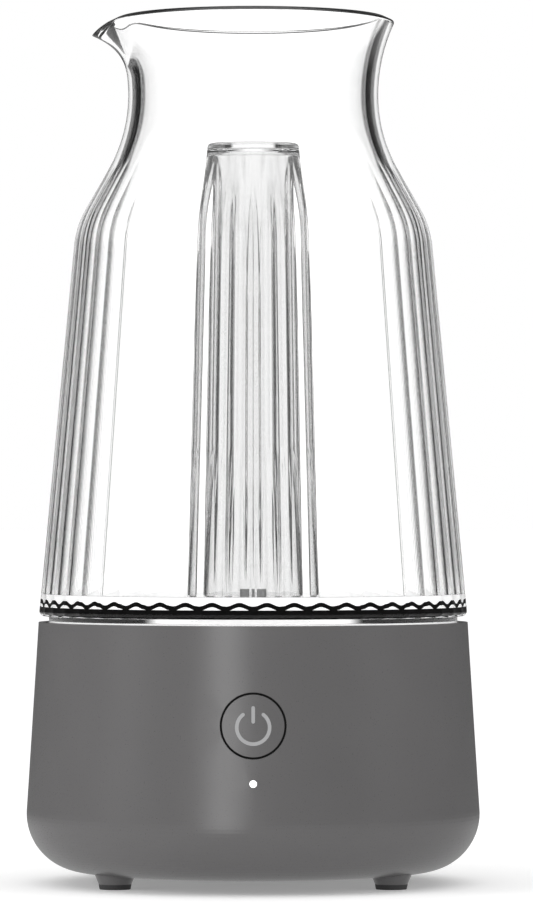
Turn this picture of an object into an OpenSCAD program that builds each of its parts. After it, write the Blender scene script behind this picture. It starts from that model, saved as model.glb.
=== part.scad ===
// Electric wine aerator: a clear fluted carafe with a centre column, on a round power base.
// Sizes are in millimetres. Z is up, the table is at z = 0 and the axis of the base is x = y = 0.
// The power button faces -Y and the pouring lip points to -X.

/* [Base] */
// Diameter of the base at its top edge
base_top_d = 137.2; // [132:0.2:143]
// Widest diameter, just above the rounded bottom edge
base_max_d = 144.8; // [140:0.2:156]
// Height of the top edge above the table
base_h = 83.4; // [76:0.2:100]
// Rounding radius of the bottom edge
base_edge_r = 18.4; // [12:0.2:22]
// Wall thickness of the base shell
shell_t = 3; // [2.2:0.1:4]
// Thickness of the shell's rim around the deck
rim_t = 2.6; // [1.8:0.1:3]

/* [Feet] */
// Gap between the table and the flat bottom of the base
foot_h = 4; // [2.8:0.1:6]
// Diameter of the circle that the feet stand on
foot_circle_d = 106; // [106:0.2:116]
// Angle of the feet from the left and right of the base, in degrees
foot_a = 35; // [30:1:45]
// Diameter of a foot where it leaves the shell
foot_top_d = 12.8; // [11:0.1:13]
// Diameter of the rubber pad under a foot
pad_d = 10.4; // [8:0.1:12]
// Thickness of the rubber pad
pad_h = 1.6; // [1:0.1:2.2]

/* [Deck] */
// Depth of the deck below the top edge of the base
deck_drop = 4.2; // [3:0.1:6]
// Thickness of the deck
deck_t = 3; // [2:0.1:4]

/* [Bottom cover] */
// Diameter of the bottom cover
cover_d = 92; // [84:0.5:96]
// Thickness of the bottom cover
cover_t = 2.2; // [1.6:0.1:3]
// Diameter of the circle that the clamping screws sit on
screw_circle_d = 73; // [68:0.5:75]
// Thread diameter of the clamping screws
clamp_screw_d = 3; // [2.5:0.1:3.5]

/* [Power button] */
// Diameter of the button cap
button_d = 19.2; // [15:0.1:24]
// Height of the button's centre above the table
button_z = 52.8; // [46:0.2:58]
// Width of the dark ring around the button cap
button_ring_w = 0.7; // [0.4:0.05:1.2]
// Travel of the button
button_travel = 0.8; // [0.4:0.05:1.2]
// Outer diameter of the power symbol
symbol_d = 11.2; // [8:0.1:13]
// Stroke width of the power symbol
symbol_w = 1.1; // [0.7:0.05:1.6]
// Depth of the symbol's inlay
symbol_depth = 0.6; // [0.4:0.05:1]

/* [Pilot light] */
// Diameter of the pilot light's lens
lens_d = 2.2; // [1.6:0.1:3.2]
// Height of the pilot light above the table
lens_z = 35; // [30:0.2:36]

/* [Carafe] */
// Step from the base's top edge in to the carafe's heel
heel_inset = 0.2; // [0:0.1:1]
// Height from the heel to the rim
carafe_h = 191.5; // [176:0.5:215]
// Wall thickness of the carafe
glass_t = 4; // [3:0.1:5]
// Inward lean of the fluted wall, in degrees
wall_lean = 5.4; // [4:0.1:6.4]
// Radius of the shoulder bend
shoulder_r = 30; // [20:1:36]
// Lean of the shoulder above the bend, in degrees
shoulder_lean = 30; // [27:0.5:33]
// Diameter at the narrowest part of the neck
neck_d = 80; // [74:0.5:86]
// Height of the narrowest part of the neck below the rim
neck_drop = 25; // [20:0.5:30]
// Radius of the neck's curve below its narrowest part
neck_low_r = 48; // [40:1:56]
// Radius of the neck's curve above its narrowest part
neck_up_r = 55; // [50:1:70]
// Rounding radius of the heel
heel_r = 1.5; // [1:0.1:3]
// Number of flutes round the wall
flute_count = 48; // [32:1:52]
// Depth of a flute at the heel
flute_depth = 0.7; // [0.4:0.05:1.1]

/* [Pouring lip] */
// Distance from the axis to the tip of the lip
lip_reach = 51.4; // [49:0.2:54]
// Drop of the tip below the rim
lip_drop = 4.6; // [3:0.1:7]
// Width of the lip where it meets the rim
lip_w = 18; // [14:0.5:22]

/* [Carafe floor] */
// Height of the clear foot ring under the heel
foot_ring_h = 6.1; // [5:0.1:8]
// Clearance between the foot ring and the rim of the base
ring_clear = 0.7; // [0.5:0.1:1.5]
// Width of the foot ring
foot_ring_w = 3.4; // [2.5:0.1:5]
// Height of the carafe's inside floor above the heel
floor_rise = 5.3; // [5:0.1:6]
// Thickness of the floor
floor_t = 6.8; // [6:0.1:7.5]
// Inner diameter of the pump well
well_d = 24; // [22:0.2:25]
// Depth of the pump well below the inside floor
well_depth = 17.3; // [17:0.1:19]
// Wall thickness of the pump well
well_t = 2; // [1.6:0.1:2.6]
// Radial thickness of the floor seal
seal_w = 1.6; // [1.2:0.1:2]

/* [Centre column] */
// Diameter of the column at its foot
column_d = 39.2; // [36:0.2:42]
// Diameter of the column at its top
column_top_d = 29.2; // [27:0.2:32]
// Height of the column above the inside floor
column_h = 144.8; // [130:0.2:158]
// Wall thickness of the hollow column
column_wall = 2.4; // [1.8:0.1:2.8]
// Thickness of the column's closed top
column_cap = 2.2; // [2:0.1:5]
// Thickness of the flange at the column's foot
column_flange = 1.2; // [1:0.1:2]
// Inner diameter of that flange
intake_d = 27; // [26.6:0.1:28]
// Number of flutes round the column
column_flutes = 10; // [8:1:12]
// Diameter of the pump's outlet, which the column stands over
outlet_d = 7.7; // [7:0.1:8.4]
// Height of the outlet above the pump's plate
outlet_h = 4.4; // [2:0.1:6]

/* [Drive] */
// Diameter of the motor
motor_d = 27.7; // [24:0.1:30]
// Length of the motor
motor_len = 32; // [26:0.5:36]
// Diameter of the motor shaft
shaft_d = 3; // [2.5:0.1:4]
// Diameter of the magnet hub on the motor shaft
hub_d = 25; // [22:0.2:27]
// Height of the magnet hub
hub_h = 8; // [7:0.1:9]
// Diameter of the impeller
impeller_d = 19; // [17:0.1:19.4]
// Number of magnets in the hub and in the impeller
magnet_count = 6; // [4:1:6]

/* [Power] */
// Diameter of a battery cell
cell_d = 18.4; // [14:0.1:19]
// Length of a battery cell
cell_len = 50; // [42:0.5:56]

/* [Hidden] */
$fn = 96;

// Clearances: a snug seat, a sliding fit, a running fit and a loose hole
snug = 0.03;
slide = 0.1;
run_fit = 0.05;
loose = 0.25;
arc_steps = 24;

// Radii of the base
base_top_r = base_top_d / 2;
edge_c = [base_max_d / 2 - base_edge_r, foot_h + base_edge_r];
rim_in_r = base_top_r - rim_t;
cover_r = cover_d / 2;
cover_lip = 2.6;
cover_hole_r = cover_r - cover_lip;
flange_h = cover_t + 1.8;

// The base's side is the line from the top edge that touches the bottom rounding
side_v = [base_top_r, base_h] - edge_c;
side_a = atan2(side_v[1], side_v[0]) - acos(base_edge_r / norm(side_v));

// Outer radius of the base's straight side at height z
function base_rad(z) = base_top_r + (base_h - z) * tan(side_a);

// Levels of the base, from the deck down to the motor
deck_top = base_h - deck_drop;
deck_under = deck_top - deck_t;
heel_z = deck_top + foot_ring_h;
floor_top = heel_z + floor_rise;
floor_under = floor_top - floor_t;
well_bottom = floor_top - well_depth;
well_floor = well_bottom + 2;
pocket_floor = well_bottom - 1;
pocket_under = pocket_floor - 1.5;
hub_top = pocket_under - 0.8;
hub_bottom = hub_top - hub_h;
bracket_t = 2.5;
bracket_top = hub_bottom - 2.5;
motor_top = bracket_top - bracket_t;
motor_bottom = motor_top - motor_len;

// Levels of the carafe
rim_z = heel_z + carafe_h;
neck_z = rim_z - neck_drop;
heel_rad = base_top_d / 2 - heel_inset;
neck_rad = neck_d / 2;

// Points on an arc of radius r about centre c, from angle a to angle b
function arc(c, r, a, b, n = arc_steps) =
    [for (i = [0:n]) c + r * [cos(a + (b - a) * i / n), sin(a + (b - a) * i / n)]];

// Four places on a circle of radius r, between the axes
function corners(r) = [for (a = [45:90:315]) r * [cos(a), sin(a)]];

module tube(r_out, r_in, z0, z1) {
    difference() {
        translate([0, 0, z0])
            cylinder(r = r_out, h = z1 - z0);
        translate([0, 0, z0 - 1])
            cylinder(r = r_in, h = z1 - z0 + 2);
    }
}

// A round bar along Y, from distance y0 to distance y1 in front of the axis
module front_rod(r, y0, y1, x = 0, z = 0) {
    translate([x, -y0, z])
        rotate([90, 0, 0])
            cylinder(r = r, h = y1 - y0);
}

// A pan-head screw standing on z = 0 with its shank pointing down
module screw(d, len, head_d, head_h) {
    translate([0, 0, -len])
        cylinder(r = d / 2, h = len + head_h / 2, $fn = 32);
    difference() {
        cylinder(r = head_d / 2, h = head_h, $fn = 48);
        for (a = [0, 90])
            translate([0, 0, head_h])
                rotate([0, 0, a])
                    cube([head_d * 0.62, head_d * 0.16, head_h], center = true);
    }
}

// An insulated wire through a list of points, with a bead at each bend
module wire(points, d = 1.6) {
    last = len(points) - 1;
    for (i = [0:last - 1]) {
        v = points[i + 1] - points[i];
        translate(points[i])
            rotate([0, acos(v[2] / norm(v)), atan2(v[1], v[0])])
                cylinder(r = d / 2, h = norm(v), $fn = 24);
    }
    for (i = [1:last - 1])
        translate(points[i])
            sphere(r = d * 0.65, $fn = 24);
}

// Carafe

// Radius of the wall's straight stretch at height z
function wall_rad(z) = heel_rad - (z - heel_z - heel_r) * tan(wall_lean);

// Where the shoulder's line and the wall's line meet, and the centre of the bend between them
shoulder_start = [neck_rad + neck_low_r * (1 - cos(shoulder_lean)), neck_z - neck_low_r * sin(shoulder_lean)];
bend_z = (shoulder_start[0] + shoulder_start[1] * tan(shoulder_lean) - wall_rad(0))
    / (tan(shoulder_lean) - tan(wall_lean));
bend_half = (shoulder_lean - wall_lean) / 2;
bend_a = wall_lean + bend_half;
bend_c = [wall_rad(bend_z), bend_z] - shoulder_r / cos(bend_half) * [cos(bend_a), sin(bend_a)];
rim_a = asin((neck_drop - glass_t / 2) / (neck_up_r + glass_t / 2));
rim_c = [neck_rad + neck_up_r, neck_z] + (neck_up_r + glass_t / 2) * [-cos(rim_a), sin(rim_a)];

// Seat of the floor and its seal in the carafe's open bottom
seat_top = floor_top + 1.6;
seat_r = wall_rad(seat_top) - glass_t / cos(wall_lean) - 0.2;
disc_r = seat_r - seal_w;

// Outline of the shoulder and neck, inset by t from the outer face, from the wall up to the rim
function carafe_side(t) = concat(
    arc(bend_c, shoulder_r - t, wall_lean, shoulder_lean, 8),
    arc([neck_rad + neck_low_r, neck_z], neck_low_r + t, 180 + shoulder_lean, 180, 10),
    arc([neck_rad + neck_up_r, neck_z], neck_up_r + t, 180 - rim_a / 8, 180 - rim_a, 7));

function backwards(v) = [for (i = [len(v) - 1:-1:0]) v[i]];

module carafe_wall() {
    rotate_extrude()
        polygon(concat(
            arc([heel_rad - heel_r, heel_z + heel_r], heel_r, -90, wall_lean, 6),
            carafe_side(0),
            arc(rim_c, glass_t / 2, 15 - rim_a, 165 - rim_a, 6),
            backwards(carafe_side(glass_t)),
            [[seat_r + 0.2, seat_top], [seat_r, seat_top], [seat_r, heel_z]]));
}

module flute_cutters() {
    // Each cutter is a slim cone with its apex on the axis, where the lines of the wall meet
    apex_z = heel_z + heel_r + heel_rad / tan(wall_lean);
    run = heel_rad / sin(wall_lean);
    half_w = 0.45 * 2 * PI * heel_rad / flute_count;
    cut_r = (half_w * half_w + flute_depth * flute_depth) / (2 * flute_depth);
    lean_out = atan((cut_r - flute_depth) / run);
    from = run + 8;
    to = run - (bend_z - heel_z) - 20;
    for (i = [0:flute_count - 1])
        rotate([0, 0, (i + 0.5) * 360 / flute_count])
            translate([0, 0, apex_z])
                rotate([0, 180 - wall_lean - lean_out, 0])
                    translate([0, 0, to])
                        cylinder(r1 = cut_r * to / run, r2 = cut_r * from / run, h = from - to);
}

// The pouring lip is a cone that leans out of the neck, with a smaller cone cut out of it
lip_root = [neck_rad - 3, neck_z + 1];
lip_tip = [lip_reach, rim_z - lip_drop];
lip_slope = atan2(lip_tip[0] - lip_root[0], lip_tip[1] - lip_root[1]);
lip_half_a = atan(lip_w / 2 / (rim_z - lip_root[1]));
lip_t = 2.8;

module lip_cone(up) {
    h = 40;
    r0 = 0.4;
    translate([-lip_root[0], 0, lip_root[1]])
        rotate([0, lip_half_a - lip_slope, 0])
            translate([0, 0, up + r0 / tan(lip_half_a)])
                cylinder(r1 = r0, r2 = r0 + h * tan(lip_half_a), h = h);
}

module lip_outside() {
    slope = (lip_drop - 0.4) / (lip_reach - rim_c[0]);
    near = rim_c[0] - 1;
    far = lip_reach + 8;
    difference() {
        intersection() {
            lip_cone(0);
            rotate([90, 0, 0])
                linear_extrude(40, center = true)
                    polygon([[-near, neck_z - 5], [-near, lip_tip[1] + slope * (lip_reach - near)],
                        [-far, lip_tip[1] + slope * (lip_reach - far)], [-far, neck_z - 5]]);
        }
        rotate_extrude()
            polygon(concat([[0, neck_z - 10], [neck_rad - glass_t / 2, neck_z - 10]],
                arc([neck_rad + neck_up_r, neck_z], neck_up_r + glass_t / 2, 180, 180 - rim_a, 8),
                [[rim_c[0], rim_z + 20], [0, rim_z + 20]]));
    }
}

module carafe_body() {
    color("aliceblue", 0.35)
        difference() {
            union() {
                carafe_wall();
                lip_outside();
            }
            flute_cutters();
            lip_cone(lip_t / sin(lip_half_a));
        }
}

// Levels of the pump in the floor's well
recess = 1.2;
plate_t = 2;
plate_top = floor_top - recess;
plate_under = plate_top - plate_t;
plate_r = intake_d / 2 + 1.4;
well_r = well_d / 2;
pin_r = 1;

module carafe_floor() {
    ring_r = base_top_d / 2 - rim_t - ring_clear;
    color("aliceblue", 0.35)
        difference() {
            rotate_extrude()
                polygon([[0, well_bottom], [well_r + well_t, well_bottom], [well_r + well_t, floor_under],
                    [ring_r - foot_ring_w, floor_under], [ring_r - foot_ring_w, deck_top], [ring_r, deck_top],
                    [ring_r, heel_z], [disc_r, heel_z], [disc_r, floor_top], [plate_r, floor_top],
                    [plate_r, plate_under], [well_r, plate_under], [well_r, well_floor], [0, well_floor]]);
            translate([0, 0, well_floor - 1.2])
                cylinder(r = pin_r + snug, h = 3);
        }
}

module floor_seal() {
    crest_h = 4.9;
    wave = 1.4;
    pitch = 2 * PI * seat_r / flute_count;
    half_w = 0.46 * pitch;
    notch_r = (half_w * half_w + wave * wave) / (2 * wave);
    color("black")
        difference() {
            tube(seat_r - run_fit, disc_r + run_fit, heel_z, heel_z + crest_h);
            for (i = [0:flute_count - 1])
                rotate([0, 0, i * 360 / flute_count])
                    translate([disc_r - 2, 0, heel_z + crest_h - wave + notch_r])
                        rotate([0, 90, 0])
                            cylinder(r = notch_r, h = seal_w + 4);
            tube(seat_r - run_fit - 0.5, disc_r - 1, heel_z + crest_h - 1.2, heel_z + crest_h + 1);
        }
}

// Pump: the skirt carries the chamber, and wine comes down between the skirt and the well
impeller_r = impeller_d / 2;
impeller_z = well_floor + 0.7;
impeller_h = 5;
skirt_in = impeller_r + 0.4;
skirt_out = skirt_in + 0.8;
outlet_r = outlet_d / 2;
outlet_top = plate_top + outlet_h;

module pump_housing() {
    jet_r = outlet_r - 1;
    dome_z = plate_under - 3;
    bar_z = impeller_z + impeller_h + 0.5;
    color("gray") {
        difference() {
            rotate_extrude()
                polygon([[jet_r, plate_top - 0.8], [jet_r, outlet_top], [outlet_r, outlet_top],
                    [outlet_r, plate_top], [plate_r - slide, plate_top], [plate_r - slide, plate_under],
                    [skirt_out, plate_under], [skirt_out, well_floor + 0.4], [skirt_in, well_floor + 0.4],
                    [skirt_in, dome_z]]);
            for (i = [0:11])
                rotate([0, 0, 30 * i])
                    translate([(skirt_out + well_r) / 2, 0, plate_under - 1])
                        cylinder(r = 0.55, h = plate_t + 2, $fn = 24);
            for (a = [45, 135])
                rotate([0, 0, a])
                    translate([-20, -3, well_floor])
                        cube([40, 6, 2.6]);
        }
        difference() {
            translate([-skirt_in - 0.3, -0.9, bar_z])
                cube([2 * skirt_in + 0.6, 1.8, 1.6]);
            translate([0, 0, bar_z - 1])
                cylinder(r = pin_r + snug, h = 4, $fn = 32);
        }
        tube(2.2, pin_r + snug, bar_z, bar_z + 1.6);
    }
}

module impeller_pin() {
    color("white")
        translate([0, 0, well_floor - 1.2])
            cylinder(r = pin_r, h = 1.2 + 0.7 + impeller_h + 0.5 + 1.6, $fn = 32);
}

module impeller_magnet_spots() {
    for (i = [0:magnet_count - 1])
        rotate([0, 0, i * 360 / magnet_count])
            translate([impeller_r - 1.75, 0, impeller_z])
                children();
}

module impeller() {
    rim_in = impeller_r - 3.4;
    color("white")
        difference() {
            union() {
                tube(impeller_r, rim_in, impeller_z, impeller_z + impeller_h);
                tube(2.4, pin_r + run_fit, impeller_z, impeller_z + impeller_h);
                intersection() {
                    tube(rim_in + 0.3, 2.1, impeller_z + 0.3, impeller_z + impeller_h - 0.3);
                    for (i = [0:3])
                        rotate([0, 0, 90 * i + 20])
                            translate([rim_in / 2 + 1, 0, impeller_z + impeller_h / 2])
                                rotate([50, 0, 0])
                                    cube([rim_in + 1, 0.9, 9], center = true);
                }
            }
            impeller_magnet_spots()
                translate([0, 0, -1])
                    cylinder(r = 1.3 + snug, h = 4, $fn = 32);
        }
}

module impeller_magnets() {
    color("silver")
        impeller_magnet_spots()
            cylinder(r = 1.3, h = 3 - snug, $fn = 32);
}

// The column widens quickly below its top and then nearly straight to its foot
column_r = column_d / 2;
column_top_r = column_top_d / 2;
function column_rad(t) = column_r - (column_r - column_top_r) * (0.3 * t + 0.7 * pow(t, 4));

// The column's side, inset by t, between two heights above the inside floor
function column_side(t, from, to, steps = 16) =
    [for (i = [0:steps]) let (z = from + (to - from) * i / steps) [column_rad(z / column_h) - t, floor_top + z]];

// The flutes begin just below the column's top and deepen downwards, until the ribs between them would end
cut_r = 10;
cut_half_a = 180 / column_flutes;
rib_end = column_rad(0.04);
cut_low = [rib_end * cos(cut_half_a) + sqrt(pow(cut_r, 2) - pow(rib_end * sin(cut_half_a), 2)), 0.04 * column_h];
cut_high = [column_rad(0.94) + cut_r, 0.94 * column_h];

// From run_from down to run_end, shares of the column's height, they run out on a cone
run_from = 0.3;
run_end = 0.02;
run_slope = (cut_low[0] - cut_r - column_rad(run_end)) / (run_from - run_end);
function run_out_rad(t) = column_rad(run_end) + run_slope * (t - run_end);

// Cutters of the column's flutes, grown by t
module column_cutters(t) {
    over = 30;
    tilt = atan2(cut_low[0] - cut_high[0], cut_high[1] - cut_low[1]);
    difference() {
        for (i = [0:column_flutes - 1])
            rotate([0, 0, i * 360 / column_flutes])
                translate([cut_low[0], 0, floor_top + cut_low[1]])
                    rotate([0, -tilt, 0])
                        translate([0, 0, -over])
                            cylinder(r = cut_r + t, h = column_h + 2 * over);
        translate([0, 0, floor_top - 0.1 * column_h])
            cylinder(r1 = run_out_rad(-0.1) - t, r2 = run_out_rad(0.4) - t, h = 0.5 * column_h);
    }
}

// The inside follows the flutes, so that the wall is even
module column_cavity() {
    soft = 3;
    high = column_h - column_cap - soft;
    r_in = column_rad(high / column_h) - column_wall;
    difference() {
        rotate_extrude()
            polygon(concat([[0, floor_top + column_flange]], column_side(column_wall, column_flange, high),
                arc([r_in - soft, floor_top + high], soft, 15, 90, 5), [[0, floor_top + high + soft]]));
        column_cutters(column_wall);
    }
}

module aerator_column() {
    edge = 1;
    reg_r = intake_d / 2 + 1.2;
    foot = floor_top - recess + 0.2;
    top = floor_top + column_h;
    color("aliceblue", 0.4)
        difference() {
            rotate_extrude()
                polygon(concat([[0, foot], [reg_r, foot], [reg_r, floor_top]], column_side(0, 0, column_h - edge),
                    arc([column_top_r - edge, top - edge], edge, 6, 90, 5), [[0, top]]));
            column_cutters(0);
            column_cavity();
            translate([0, 0, foot - 1])
                cylinder(d = intake_d, h = recess + column_flange + 2);
            for (i = [0:4])
                rotate([0, 0, 72 * i + 36])
                    translate([intake_d / 2 - 4, 0, floor_top])
                        rotate([0, 90, 0])
                            cylinder(r = 2.2, h = column_d, $fn = 48);
        }
}

// Base

// The base's outer form, inset by t
module base_form(t) {
    rotate_extrude()
        polygon(concat([[0, foot_h + t]],
            arc(edge_c, base_edge_r - t, -90, side_a),
            [[base_top_r - t / cos(side_a), base_h], [0, base_h]]));
}

// Places along Y behind the front wall, as distances from the axis
wall_front = base_rad(button_z);
guide_back = wall_front - shell_t - 3.2;
flange_front = guide_back - slide;
flange_back = flange_front - 1.2;
stem_back = flange_back - 1.2;
switch_front = stem_back - button_travel - 0.4;
board_front = switch_front - 3.5;
board_back = board_front - 1.6;
led_front = board_front + 4;
lens_back = led_front + slide;

button_r = button_d / 2;
hole_r = button_r + button_ring_w;
lens_r = lens_d / 2;

// The control board reaches from below the pilot light to above the button
board_w = 44;
board_low = lens_z - 8.2;
board_high = button_z + 12;
board_spots = [for (x = [-1, 1], z = [board_low + 4, board_high - 4]) [x * (board_w / 2 - 4), z]];

// The charging inlet at the back
inlet_z = 30;
inlet_w = 9;
inlet_h = 3.3;
inlet_face = base_rad(inlet_z) - 1.4;
inlet_len = 7.4;
inlet_deck = inlet_z - inlet_h / 2;
inlet_board_t = 1.6;
inlet_spots = [[-6.6, inlet_face - 11], [6.6, inlet_face - 11]];

module rounded_slot(w, h) {
    square([w - h, h], center = true);
    for (x = [-1, 1])
        translate([x * (w - h) / 2, 0])
            circle(r = h / 2 - 0.01, $fn = 32);
}

// A slot-shaped bar along Y, from distance y0 to distance y1 behind the axis
module back_bar(w, h, y0, y1) {
    translate([0, y1, inlet_z])
        rotate([90, 0, 0])
            linear_extrude(y1 - y0)
                rounded_slot(w, h);
}

foot_spots = [for (a = [foot_a, 180 - foot_a, 180 + foot_a, -foot_a]) foot_circle_d / 2 * [cos(a), sin(a)]];
post_spots = corners(screw_circle_d / 2);

module base_shell() {
    color([0.4, 0.4, 0.4])
        difference() {
            union() {
                difference() {
                    base_form(0);
                    base_form(shell_t);
                    translate([0, 0, deck_under])
                        cylinder(r = rim_in_r, h = base_h);
                }
                rotate_extrude()
                    polygon([[cover_hole_r, foot_h], [edge_c[0], foot_h],
                        [edge_c[0], foot_h + flange_h], [cover_hole_r, foot_h + flange_h]]);
                rotate_extrude()
                    polygon([[rim_in_r - 3.6, deck_under - 1.6], [rim_in_r - 3.6, deck_under],
                        [base_rad(deck_under) - shell_t / 2, deck_under],
                        [base_rad(deck_under) - shell_t / 2, deck_under - 6]]);
                for (p = foot_spots)
                    translate([p[0], p[1], 0]) {
                        translate([0, 0, pad_h])
                            cylinder(r1 = pad_d / 2, r2 = foot_top_d / 2, h = foot_h + 0.6 - pad_h);
                        translate([0, 0, foot_h + 0.6])
                            cylinder(r = foot_top_d / 2, h = 2.4);
                    }
                intersection() {
                    base_form(1);
                    union() {
                        for (p = board_spots)
                            front_rod(2.6, board_front, base_max_d / 2, p[0], p[1]);
                        translate([-10, inlet_face - 15, inlet_deck - inlet_board_t - 5])
                            cube([20, 40, 5]);
                    }
                }
            }
            translate([0, 0, foot_h - 1])
                cylinder(r = cover_r, h = cover_t + 1);
            translate([0, 0, foot_h - 1])
                cylinder(r = cover_hole_r, h = flange_h + 2);
            front_rod(hole_r, board_front, base_max_d, 0, button_z);
            front_rod(lens_r + run_fit, led_front, base_max_d, 0, lens_z);
            back_bar(inlet_w + 0.4, inlet_h + 0.4, inlet_face - inlet_len, base_max_d);
            for (p = board_spots)
                front_rod(0.9, board_front - 1, board_front + 5, p[0], p[1]);
            for (p = inlet_spots)
                translate([p[0], p[1], inlet_deck - inlet_board_t - 4])
                    cylinder(r = 0.9, h = 6, $fn = 32);
            for (p = foot_spots)
                translate([p[0], p[1], pad_h - 1])
                    cylinder(r = 2.5 + run_fit, h = 3.2);
        }
}

module base_deck() {
    pocket_r = well_r + well_t + 0.6;
    boss_top = foot_h + cover_t + 4.8;
    color([0.36, 0.36, 0.36])
        difference() {
            union() {
                translate([0, 0, deck_under])
                    cylinder(r = rim_in_r - 0.2, h = deck_t);
                translate([0, 0, pocket_under])
                    cylinder(r = pocket_r + 1.6, h = deck_under - pocket_under + 1);
                for (p = post_spots)
                    translate([p[0], p[1], boss_top])
                        cylinder(r = 4, h = deck_under - boss_top + 1);
                for (p = corners(20))
                    translate([p[0], p[1], bracket_top])
                        cylinder(r = 3, h = deck_under - bracket_top + 1);
            }
            translate([0, 0, pocket_floor])
                cylinder(r = pocket_r, h = 40);
            for (p = post_spots)
                translate([p[0], p[1], boss_top - 1])
                    cylinder(r = clamp_screw_d / 2 + run_fit, h = 13);
            for (p = corners(20))
                translate([p[0], p[1], bracket_top - 1])
                    cylinder(r = 1.25 + run_fit, h = 9);
        }
}

module bottom_cover() {
    boss_h = cover_t + 4.8;
    color([0.3, 0.3, 0.3])
        difference() {
            union() {
                translate([0, 0, foot_h])
                    cylinder(r = cover_r - 0.2, h = cover_t);
                for (p = post_spots)
                    translate([p[0], p[1], foot_h])
                        cylinder(r = 4.6, h = boss_h);
            }
            for (p = post_spots) {
                translate([p[0], p[1], foot_h - 1])
                    cylinder(r = clamp_screw_d + 0.2, h = boss_h - 1.4);
                translate([p[0], p[1], foot_h])
                    cylinder(r = clamp_screw_d / 2 + loose, h = boss_h + 1);
            }
            for (i = [-3:3])
                translate([i * 5, 0, foot_h])
                    cube([2, 30 - 4 * abs(i), 20], center = true);
        }
}

module cover_screws() {
    seat = foot_h + cover_t + 4.8 - 2.4;
    color("silver")
        for (p = post_spots)
            translate([p[0], p[1], seat])
                mirror([0, 0, 1])
                    screw(clamp_screw_d, 12, 2 * clamp_screw_d - 0.4, 1.8);
}

module foot_pads() {
    color([0.15, 0.15, 0.15])
        for (p = foot_spots)
            translate([p[0], p[1], 0]) {
                cylinder(r1 = pad_d / 2 - 0.3, r2 = pad_d / 2, h = pad_h);
                cylinder(r = 2.5, h = pad_h + 2);
            }
}

module power_shape() {
    r = symbol_d / 2;
    gap_a = 38;
    mid = r - symbol_w / 2;
    difference() {
        circle(r = r);
        circle(r = r - symbol_w);
        polygon([[0, 0], 2 * r * [-sin(gap_a), cos(gap_a)], [0, 4 * r], 2 * r * [sin(gap_a), cos(gap_a)]]);
    }
    for (s = [-1, 1])
        translate(mid * [s * sin(gap_a), cos(gap_a)])
            circle(r = 0.48 * symbol_w, $fn = 32);
    translate([-symbol_w / 2, 0.35 * mid])
        square([symbol_w, 0.85 * mid]);
    for (y = [0.35, 1.2])
        translate([0, y * mid])
            circle(r = 0.48 * symbol_w, $fn = 32);
}

// The symbol as a prism along -Y, cut off behind the inlay's depth
module power_prism() {
    difference() {
        translate([0, -board_front, button_z - 0.5])
            rotate([90, 0, 0])
                linear_extrude(40)
                    power_shape();
        base_form(symbol_depth);
    }
}

module power_button() {
    color([0.4, 0.4, 0.4])
        difference() {
            union() {
                intersection() {
                    base_form(0);
                    front_rod(button_r, flange_back, base_max_d, 0, button_z);
                }
                front_rod(button_r + 1.3, flange_back, flange_front, 0, button_z);
                front_rod(2.2, stem_back, flange_back + 2, 0, button_z);
            }
            difference() {
                front_rod(button_r - 2, flange_back - 1, wall_front - 2.6, 0, button_z);
                front_rod(2.2, stem_back - 1, wall_front, 0, button_z);
            }
            power_prism();
        }
}

module power_symbol() {
    color([0.85, 0.85, 0.85])
        intersection() {
            base_form(0);
            power_prism();
        }
}

module button_guide() {
    color([0.05, 0.05, 0.05])
        difference() {
            union() {
                intersection() {
                    base_form(0.5);
                    front_rod(hole_r - snug, guide_back, base_max_d, 0, button_z);
                }
                intersection() {
                    base_form(shell_t + snug);
                    front_rod(hole_r + 2.4, guide_back, base_max_d, 0, button_z);
                }
            }
            front_rod(button_r + slide, guide_back - 1, base_max_d, 0, button_z);
        }
}

module pilot_lens() {
    color("white")
        intersection() {
            base_form(0);
            front_rod(lens_r, lens_back, base_max_d, 0, lens_z);
        }
    color("white")
        front_rod(lens_r + 0.8, lens_back, lens_back + 2, 0, lens_z);
}

module pilot_led() {
    color("white")
        front_rod(1.5, board_front, led_front, 0, lens_z);
}

module control_board() {
    color("green")
        difference() {
            translate([-board_w / 2, -board_front, board_low])
                cube([board_w, board_front - board_back, board_high - board_low]);
            for (p = board_spots)
                front_rod(1.1, board_back - 1, board_front + 1, p[0], p[1]);
        }
}

module board_parts() {
    color([0.1, 0.1, 0.1]) {
        translate([-6, -board_back, button_z - 4])
            cube([12, 2, 8]);
        translate([-16, -board_back, button_z - 12])
            cube([7, 4, 7]);
    }
    color("silver")
        front_rod(3.2, board_back - 9, board_back, 13, button_z - 8);
}

module board_screws() {
    color("silver")
        for (p = board_spots)
            translate([p[0], -board_back, p[1]])
                rotate([-90, 0, 0])
                    screw(1.7, 5.6, 4, 1.4);
}

module switch_body() {
    color([0.12, 0.12, 0.12])
        difference() {
            translate([-3, -switch_front, button_z - 3])
                cube([6, switch_front - board_front, 6]);
            front_rod(1.75 + slide, switch_front - 2.4, switch_front + 1, 0, button_z);
        }
}

module switch_plunger() {
    color([0.7, 0.7, 0.7])
        front_rod(1.75, switch_front - 1.2, stem_back, 0, button_z);
}

module inlet_socket() {
    color("silver")
        difference() {
            back_bar(inlet_w, inlet_h, inlet_face - inlet_len, inlet_face);
            back_bar(inlet_w - 0.6, inlet_h - 0.6, inlet_face - inlet_len + 1, inlet_face + 1);
        }
    color([0.1, 0.1, 0.1])
        translate([-3.3, inlet_face - inlet_len + 0.5, inlet_z - 0.35])
            cube([6.6, inlet_len - 1.5, 0.7]);
}

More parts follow.
